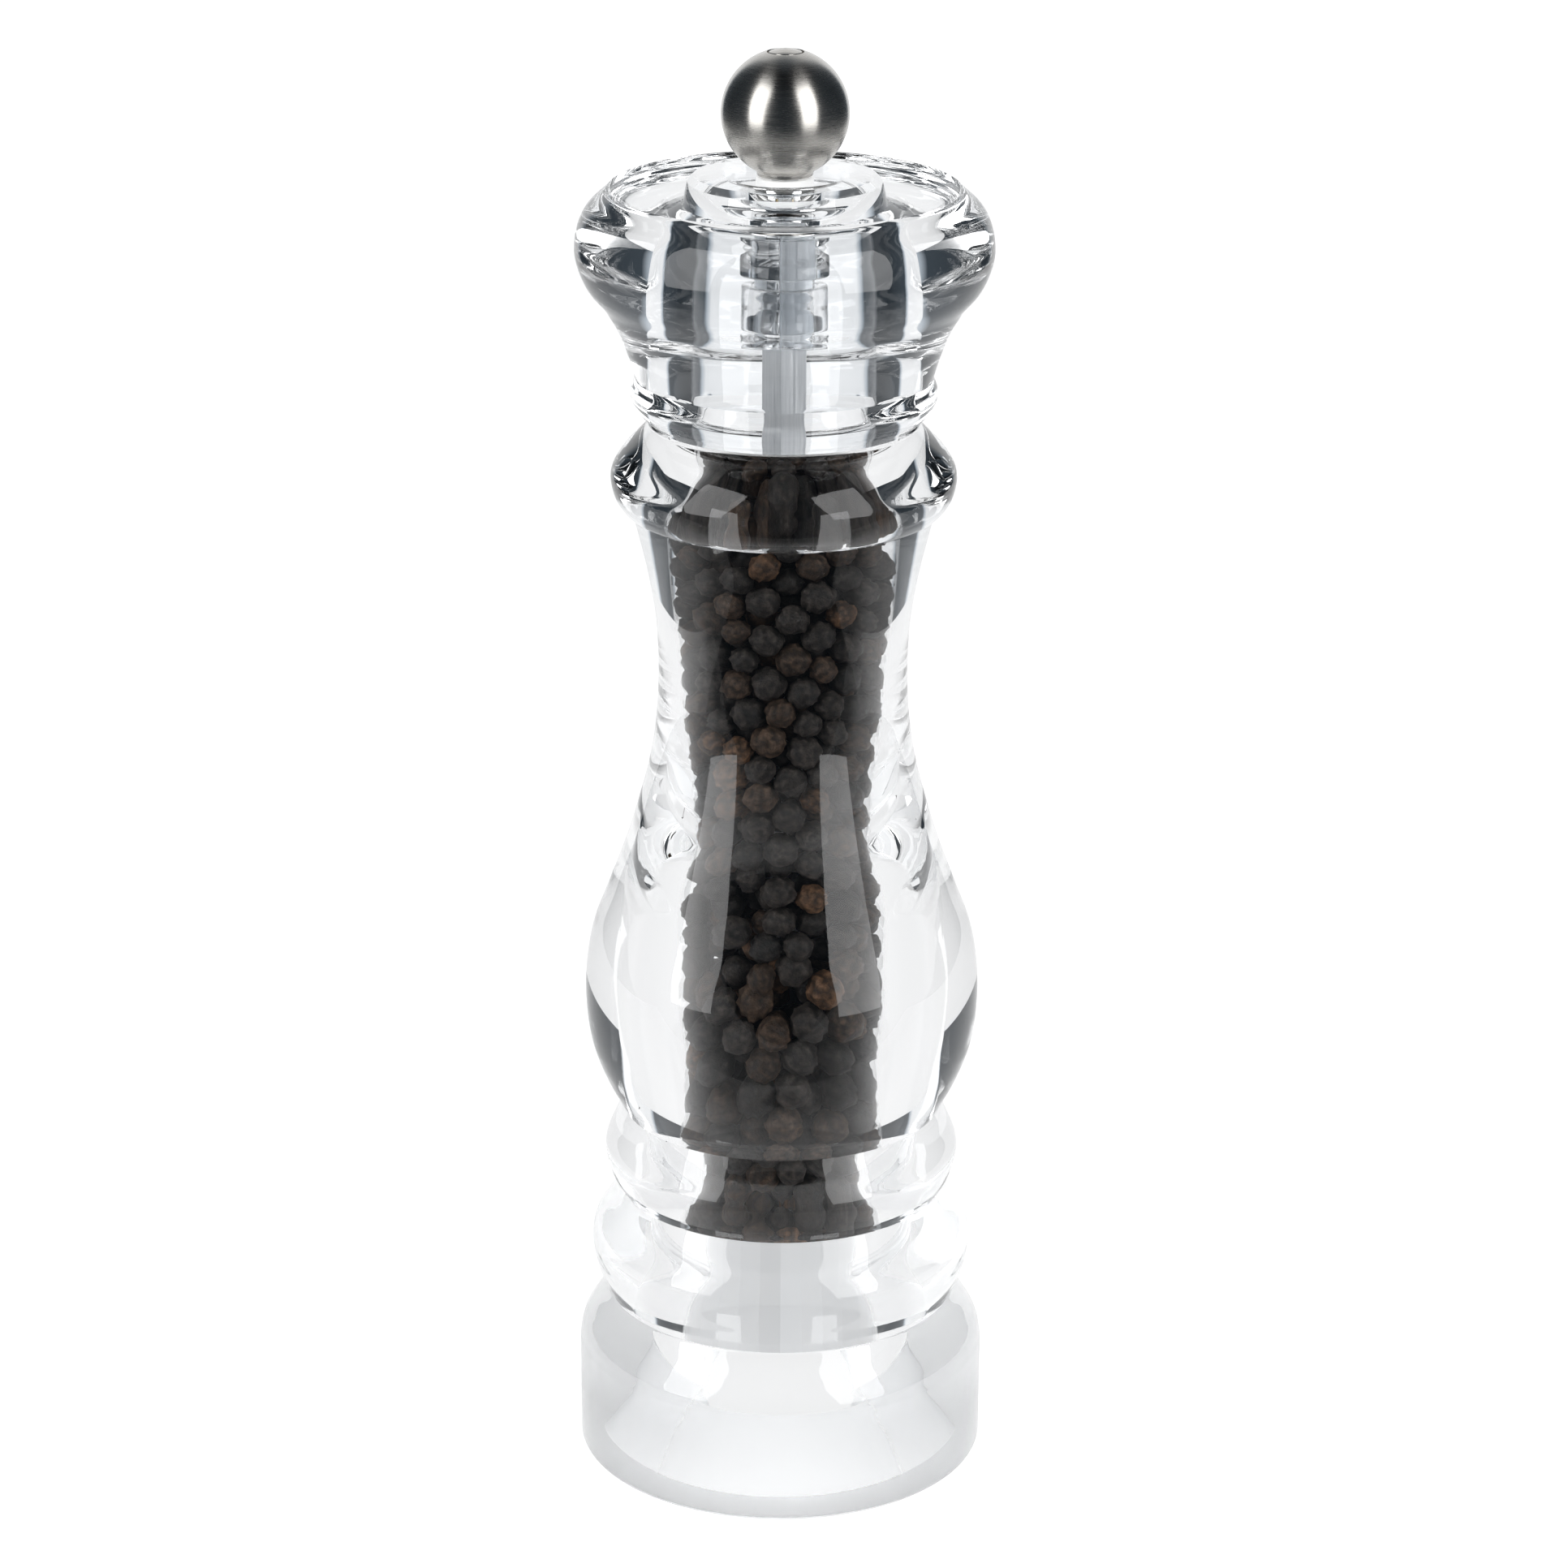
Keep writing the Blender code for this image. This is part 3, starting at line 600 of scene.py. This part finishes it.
def make_spring():
    """The round wire spring over the CAD spring's height. The real one shortens towards the bridge
    as the cone burr rises; this one keeps its length.
    """
    low, high = (corner[2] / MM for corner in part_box("burr_spring"))
    bottom = low + SPRING_WIRE_RADIUS
    rise = high - SPRING_WIRE_RADIUS - bottom
    steps = int(SPRING_TURNS * SPRING_STEPS)
    bm = bmesh.new()
    rings = []
    for step in range(steps + 1):
        turn = 2 * pi * SPRING_TURNS * step / steps
        outward = Vector((cos(turn), sin(turn), 0.0))
        centre = outward * SPRING_RADIUS + Vector((0.0, 0.0, bottom + rise * step / steps))
        ring = []
        for side in range(SPRING_SIDES):
            angle = 2 * pi * side / SPRING_SIDES
            offset = outward * cos(angle) + Vector((0.0, 0.0, sin(angle)))
            ring.append(bm.verts.new(centre + offset * SPRING_WIRE_RADIUS))
        rings.append(ring)
    for here, there in zip(rings, rings[1:]):
        for side in range(SPRING_SIDES):
            after = (side + 1) % SPRING_SIDES
            bm.faces.new((here[side], here[after], there[after], there[side]))
    bm.faces.new(rings[0])
    bm.faces.new(rings[-1])
    finish = drawn_metal("spring_steel", (0.4, 0.4, 0.4), (0.62, 0.62, 0.62), 0.22)
    made = add_object("burr_spring_wire", bm, finish)
    settle(made, "body", "mechanism_steel", "burr_spring")
    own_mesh(made)


# ---------------------------------------------------------------- peppercorns

def pack_corns():
    """Centres and radii, in millimetres, of spheres settled between spindle and wall."""
    rng = np.random.default_rng(CORN_SEED)
    radii = rng.uniform(*CORN_RADIUS, CORN_COUNT)
    angle = rng.uniform(0, 2 * pi, CORN_COUNT)
    levels = np.linspace(FILL_BOTTOM, FILL_TOP + 10, 400)
    volume = np.cumsum(wall_radius(levels) ** 2)
    height = np.interp(rng.uniform(0, volume[-1], CORN_COUNT), volume, levels)
    reach = np.sqrt(rng.uniform(0.05, 1, CORN_COUNT)) * wall_radius(height)
    centres = np.stack([reach * np.cos(angle), reach * np.sin(angle), height], axis=1)
    touch = radii[:, None] + radii[None, :]
    for step in range(SETTLE_ROUNDS):
        away = centres[:, None, :] - centres[None, :, :]
        distance = np.sqrt((away**2).sum(axis=2)) + 1e-9
        overlap = np.clip(touch - distance, 0, None)
        np.fill_diagonal(overlap, 0)
        push = (away / distance[:, :, None] * overlap[:, :, None]).sum(axis=1)
        centres += SETTLE_PUSH * push
        centres[:, 2] -= SETTLE_SINK * (1 - step / SETTLE_ROUNDS)
        confine(centres, radii)
    return centres, radii


def wall_radius(heights):
    """The chamber's radius at each height, in millimetres."""
    throat = [(THROAT_RADIUS - GAP, FILL_BOTTOM), (THROAT_RADIUS, THROAT_TOP)]
    radii, levels = zip(*throat, *CHAMBER_WALL)
    return np.interp(heights, levels, radii)


def confine(centres, radii):
    """Moves spheres back between the spindle and the chamber's wall, and above the floor."""
    reach = np.hypot(centres[:, 0], centres[:, 1]) + 1e-9
    wall = wall_radius(centres[:, 2]) - FILL_GAP
    wanted = np.clip(reach, FILL_CORE + radii, wall - radii)
    centres[:, 0] *= wanted / reach
    centres[:, 1] *= wanted / reach
    centres[:, 2] = np.clip(centres[:, 2], FILL_BOTTOM + radii, FILL_TOP - radii)


def corn_shape(seed, subdivisions):
    """Points and triangles of a wrinkled peppercorn of radius 1, and how raised each point is."""
    bm = bmesh.new()
    bmesh.ops.create_icosphere(bm, subdivisions=subdivisions, radius=1.0)
    offset = Vector((seed * 7.3, seed * 3.1, seed * 5.7))
    points = []
    ridges = []
    for vert in bm.verts:
        way = vert.co.normalized()
        near = noise.voronoi(way * 2.6 + offset + 0.25 * noise.noise_vector(way * 3 + offset))[0]
        ridge = max(0.0, 1.0 - (near[1] - near[0]) / 0.28)
        lump = noise.noise(way * 1.3 + offset)
        fine = noise.noise(way * 7.0 + offset)
        height = 0.17 * ridge**1.5 + 0.07 * lump + 0.03 * fine
        points.append(way * (0.89 + height))
        ridges.append(ridge)
    triangles = [[v.index for v in face.verts] for face in bm.faces]
    bm.free()
    return np.array(points), np.array(triangles), np.array(ridges)


def corn_tone(rng):
    """The colour of one corn: most nearly black, some brown, a few reddish."""
    kind = rng.random()
    if kind < 0.62:
        base = np.array((0.017, 0.0148, 0.0135)) * rng.uniform(0.6, 1.8)
    elif kind < 0.92:
        base = np.array((0.036, 0.0245, 0.0175)) * rng.uniform(0.7, 1.4)
    else:
        base = np.array((0.08, 0.047, 0.028)) * rng.uniform(0.7, 1.2)
    return base


def rotation_of(rng):
    spin = Vector(rng.normal(size=3)).normalized()
    return np.array(Matrix.Rotation(rng.uniform(0, 2 * pi), 3, spin))


def joined_corns(name, corns, finish):
    """One mesh object from a list of (points, triangles, colours)."""
    starts = np.cumsum([0] + [len(points) for points, _, _ in corns[:-1]])
    points = np.concatenate([points for points, _, _ in corns])
    triangles = np.concatenate([t + start for (_, t, _), start in zip(corns, starts)])
    tones_and_painted_shade = np.concatenate([colour for _, _, colour in corns])
    mesh = bpy.data.meshes.new(name)
    mesh.from_pydata(points.tolist(), [], triangles.tolist())
    # This attribute carries each corn's own tone together with the painted shade of its wrinkles
    # and painted light of its ridges.
    layer = mesh.color_attributes.new("corn_tone", "FLOAT_COLOR", "POINT")
    rgba = np.concatenate([tones_and_painted_shade, np.ones((len(tones_and_painted_shade), 1))], axis=1)
    layer.data.foreach_set("color", rgba.ravel())
    mesh.shade_smooth()
    mesh.materials.append(finish)
    made = bpy.data.objects.new(name, mesh)
    bpy.context.scene.collection.objects.link(made)
    return made


def make_corns():
    finish = peppercorn_skin()
    rng = np.random.default_rng(CORN_SEED + 1)
    fine = [corn_shape(seed, 3) for seed in range(CORN_SHAPES)]
    coarse = [corn_shape(seed, 2) for seed in range(CORN_SHAPES)]
    centres, radii = pack_corns()
    top = np.sort(centres[:, 2])[-40:].min()
    groups = [[] for _ in range(CORN_GROUPS)]
    for centre, radius in zip(centres, radii):
        near_wall = hypot(centre[0], centre[1]) > wall_radius(centre[2]) - OUTER_LAYER
        outer = near_wall or centre[2] > top
        points, triangles, ridges = (fine if outer else coarse)[rng.integers(CORN_SHAPES)]
        stretch = rng.uniform(0.94, 1.05, 3)
        placed = (points * stretch) @ rotation_of(rng).T * radius + centre
        # Painted shade and light: each corn's tone is darkened in its wrinkles and brightened on
        # its ridges.
        tones_and_painted_shade = corn_tone(rng) * (0.4 + 1.9 * ridges[:, None])
        share = (centre[2] - FILL_BOTTOM) / (FILL_TOP - FILL_BOTTOM)
        group = min(CORN_GROUPS - 1, max(0, int(share * CORN_GROUPS)))
        groups[group].append((placed * MM, triangles, tones_and_painted_shade))
    for number, corns in enumerate(groups, 1):
        piece = joined_corns(f"peppercorns_{number}", corns, finish)
        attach(piece, "body")


# ---------------------------------------------------------------- carried-over CAD nodes

def finish_node(node, finish):
    """Gives a carried-over CAD node its better material."""
    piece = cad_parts[node]
    if not piece.material_slots:
        piece.data.materials.append(finish)
    for slot in piece.material_slots:
        slot.material = finish


def painted_glow(finish, strength):
    """Paints a glow into white plastic: emission that stands in for light from behind that the
    lamps leave out.
    """
    shader = finish.node_tree.nodes["Principled BSDF"]
    shader.inputs["Emission Color"].default_value = (1.0, 1.0, 1.0, 1.0)
    shader.inputs["Emission Strength"].default_value = strength


def finish_mechanism():
    steel = drawn_metal("mechanism_steel", (0.42, 0.41, 0.39), (0.66, 0.65, 0.62), 0.3)
    for node in ("bridge", "bridge_screw_left", "bridge_screw_right", "thrust_washer", "rotor_nut"):
        finish_node(node, steel)
    bar = drawn_metal("spindle_aluminium", (0.8, 0.82, 0.84), (0.94, 0.95, 0.96), 0.42, 0.55)
    finish_node("spindle", bar)
    ceramic = moulded("burr_ceramic", (0.84, 0.83, 0.79), (0.93, 0.92, 0.89), 0.28)
    for node in ("rotor_burr", "stator_ring"):
        finish_node(node, ceramic)
    housing = moulded("housing_plastic", (0.93, 0.94, 0.95), (0.97, 0.97, 0.97), 0.35)
    # Painted glow: the housing is given emission that stands in for light from behind.
    painted_glow(housing, 0.3)
    finish_node("burr_housing", housing)
    finish_node("spindle_bush", moulded("bush_nylon", (0.78, 0.79, 0.79), (0.9, 0.9, 0.89), 0.42))
    brass = drawn_metal("insert_brass", (0.62, 0.45, 0.2), (0.85, 0.66, 0.36), 0.3)
    finish_node("knob_thread_insert", brass)


# ---------------------------------------------------------------- studio

CAMERA_DISTANCE = 0.7328
CAMERA_ELEVATION = radians(19.43)
CAMERA_ROLL = radians(0.24)
CAMERA_LENS = 111.46
AIM = Vector((0.00022, 0.0, 0.10825))
TABLE_WIDTH = 0.9
TABLE_FRONT = 0.13
TABLE_BACK = 1.7
TABLE_GLOW = 0.78
TABLE_FRONT_GLOW = 0.1
# Where along Y the table brightens from its front to the rest
TABLE_GLOW_RISE = (-0.09, -0.03)
FILL_RADIANCE = 0.7
SOFTBOX_AZIMUTHS = {"left": -53, "right": 45}
SOFTBOX_ELEVATION = radians(24)
SOFTBOX_SIZE = (0.52, 1.2)
SOFTBOX_RADIANCE = 3.2
# Brightness of the room at angles, in degrees, from straight behind the mill to its front, and
# the share of it that is left towards the dark ceiling, by the sine of the elevation
ROOM = ((0, 0.96), (26, 0.93), (30, 0.5), (33, 0.06), (60, 0.03), (120, 0.04), (180, 0.03))
CEILING = ((0.0, 1.0), (0.7, 1.0), (0.85, 0.12), (1.0, 0.05))
# How much bluer the half-dark parts of the room are than its white
COOLNESS = 0.22


def make_camera():
    camera = bpy.data.cameras.new("camera")
    camera.sensor_width = 36.0
    camera.lens = CAMERA_LENS
    camera.clip_start = 0.01
    made = bpy.data.objects.new("camera", camera)
    bpy.context.scene.collection.objects.link(made)
    back = Vector((0.0, -cos(CAMERA_ELEVATION), sin(CAMERA_ELEVATION)))
    made.location = AIM + CAMERA_DISTANCE * back
    turn = back.to_track_quat("Z", "Y").to_matrix().to_4x4()
    made.matrix_world = (
        Matrix.Translation(made.location) @ turn @ Matrix.Rotation(CAMERA_ROLL, 4, "Z")
    )
    bpy.context.scene.camera = made


def make_softbox(name, azimuth, elevation, distance, width, height, radiance):
    """A rectangular lamp that faces the mill. Azimuth 0 is the camera's side."""
    lamp = bpy.data.lights.new(name, "AREA")
    lamp.shape = "RECTANGLE"
    lamp.size = width
    lamp.size_y = height
    lamp.energy = radiance * pi * width * height
    made = bpy.data.objects.new(name, lamp)
    bpy.context.scene.collection.objects.link(made)
    way = Vector(
        (
            sin(azimuth) * cos(elevation),
            -cos(azimuth) * cos(elevation),
            sin(elevation),
        )
    )
    made.location = Vector((0, 0, 0.1)) + distance * way
    made.rotation_euler = way.to_track_quat("Z", "Y").to_euler()
    return made


def make_floor():
    """A white light table, wide enough for the camera's view and longer behind the mill."""
    bm = bmesh.new()
    corners = ((-TABLE_WIDTH / 2, -TABLE_FRONT), (TABLE_WIDTH / 2, -TABLE_FRONT))
    corners += ((TABLE_WIDTH / 2, TABLE_BACK), (-TABLE_WIDTH / 2, TABLE_BACK))
    bm.faces.new([bm.verts.new((x, y, -0.0002)) for x, y in corners])
    mesh = bpy.data.meshes.new("floor")
    bm.to_mesh(mesh)
    bm.free()
    nodes = Nodes("pale_floor")
    nodes.set(
        Base_Color=(0.3, 0.3, 0.3, 1.0),
        Roughness=0.6,
        Specular_IOR_Level=0.2,
        Emission_Color=(1.0, 1.0, 1.0, 1.0),
    )
    split = nodes.add("ShaderNodeSeparateXYZ")
    nodes.link(nodes.position(), split.inputs["Vector"])
    glow = nodes.spread(split.outputs["Y"], TABLE_FRONT_GLOW, TABLE_GLOW, *TABLE_GLOW_RISE)
    path = nodes.add("ShaderNodeLightPath")
    seen = nodes.add("ShaderNodeMix", data_type="FLOAT")
    seen.inputs["B"].default_value = 1.0
    nodes.link(path.outputs["Is Camera Ray"], seen.inputs["Factor"])
    nodes.link(glow, seen.inputs["A"])
    nodes.link(seen.outputs["Result"], nodes.shader.inputs["Emission Strength"])
    mesh.materials.append(nodes.material)
    made = bpy.data.objects.new("floor", mesh)
    bpy.context.scene.collection.objects.link(made)


def grey_ramp(nodes, stops):
    ramp = nodes.new("ShaderNodeValToRGB")
    elements = ramp.color_ramp.elements
    while len(elements) < len(stops):
        elements.new(0.5)
    for element, (place, value) in zip(elements, stops):
        element.position = place
        cool = COOLNESS * value * (1 - value)
        element.color = (value - cool, value, value + cool, 1.0)
    return ramp


def make_world():
    """White for the camera. Reflections see a white backdrop behind and a dark room elsewhere."""
    world = bpy.data.worlds.new("studio")
    bpy.context.scene.world = world
    world.use_nodes = True
    nodes = world.node_tree.nodes
    links = world.node_tree.links
    place = nodes.new("ShaderNodeTexCoord")
    split = nodes.new("ShaderNodeSeparateXYZ")
    links.new(place.outputs["Generated"], split.inputs["Vector"])
    side = nodes.new("ShaderNodeMath")
    side.operation = "ABSOLUTE"
    links.new(split.outputs["X"], side.inputs[0])
    turn = nodes.new("ShaderNodeMath")
    turn.operation = "ARCTAN2"
    links.new(side.outputs["Value"], turn.inputs[0])
    links.new(split.outputs["Y"], turn.inputs[1])
    share = nodes.new("ShaderNodeMath")
    share.operation = "DIVIDE"
    share.inputs[1].default_value = pi
    links.new(turn.outputs["Value"], share.inputs[0])
    around = grey_ramp(nodes, [(angle / 180, value) for angle, value in ROOM])
    links.new(share.outputs["Value"], around.inputs["Fac"])
    upward = grey_ramp(nodes, CEILING)
    links.new(split.outputs["Z"], upward.inputs["Fac"])
    room = nodes.new("ShaderNodeMix")
    room.data_type = "RGBA"
    room.blend_type = "MULTIPLY"
    room.inputs["Factor"].default_value = 1.0
    links.new(around.outputs["Color"], room.inputs["A"])
    links.new(upward.outputs["Color"], room.inputs["B"])
    path = nodes.new("ShaderNodeLightPath")
    mix = nodes.new("ShaderNodeMix")
    mix.data_type = "RGBA"
    mix.inputs["B"].default_value = (1.0, 1.0, 1.0, 1.0)
    links.new(path.outputs["Is Camera Ray"], mix.inputs["Factor"])
    links.new(room.outputs["Result"], mix.inputs["A"])
    links.new(mix.outputs["Result"], nodes["Background"].inputs["Color"])


def make_fill():
    """A wide soft front light that only matt surfaces see, so the acrylic shows no glint of it."""
    fill = make_softbox("fill", radians(0), radians(35), 1.2, 1.4, 1.0, FILL_RADIANCE)
    fill.visible_glossy = False
    fill.visible_transmission = False


def make_studio():
    make_world()
    make_floor()
    make_fill()
    for side, azimuth in SOFTBOX_AZIMUTHS.items():
        turn = radians(azimuth)
        size = SOFTBOX_SIZE
        make_softbox(f"softbox_{side}", turn, SOFTBOX_ELEVATION, 1.0, *size, SOFTBOX_RADIANCE)
    scene = bpy.context.scene
    scene.view_settings.view_transform = "Standard"
    cycles = scene.cycles
    cycles.max_bounces = 28
    cycles.transmission_bounces = 24
    cycles.glossy_bounces = 12
    cycles.transparent_max_bounces = 24
    cycles.caustics_reflective = False
    cycles.caustics_refractive = False
    cycles.use_denoising = True


make_camera()
make_studio()
make_shells()
make_knob()
make_drive_bush()
make_spring()
finish_mechanism()
make_corns()
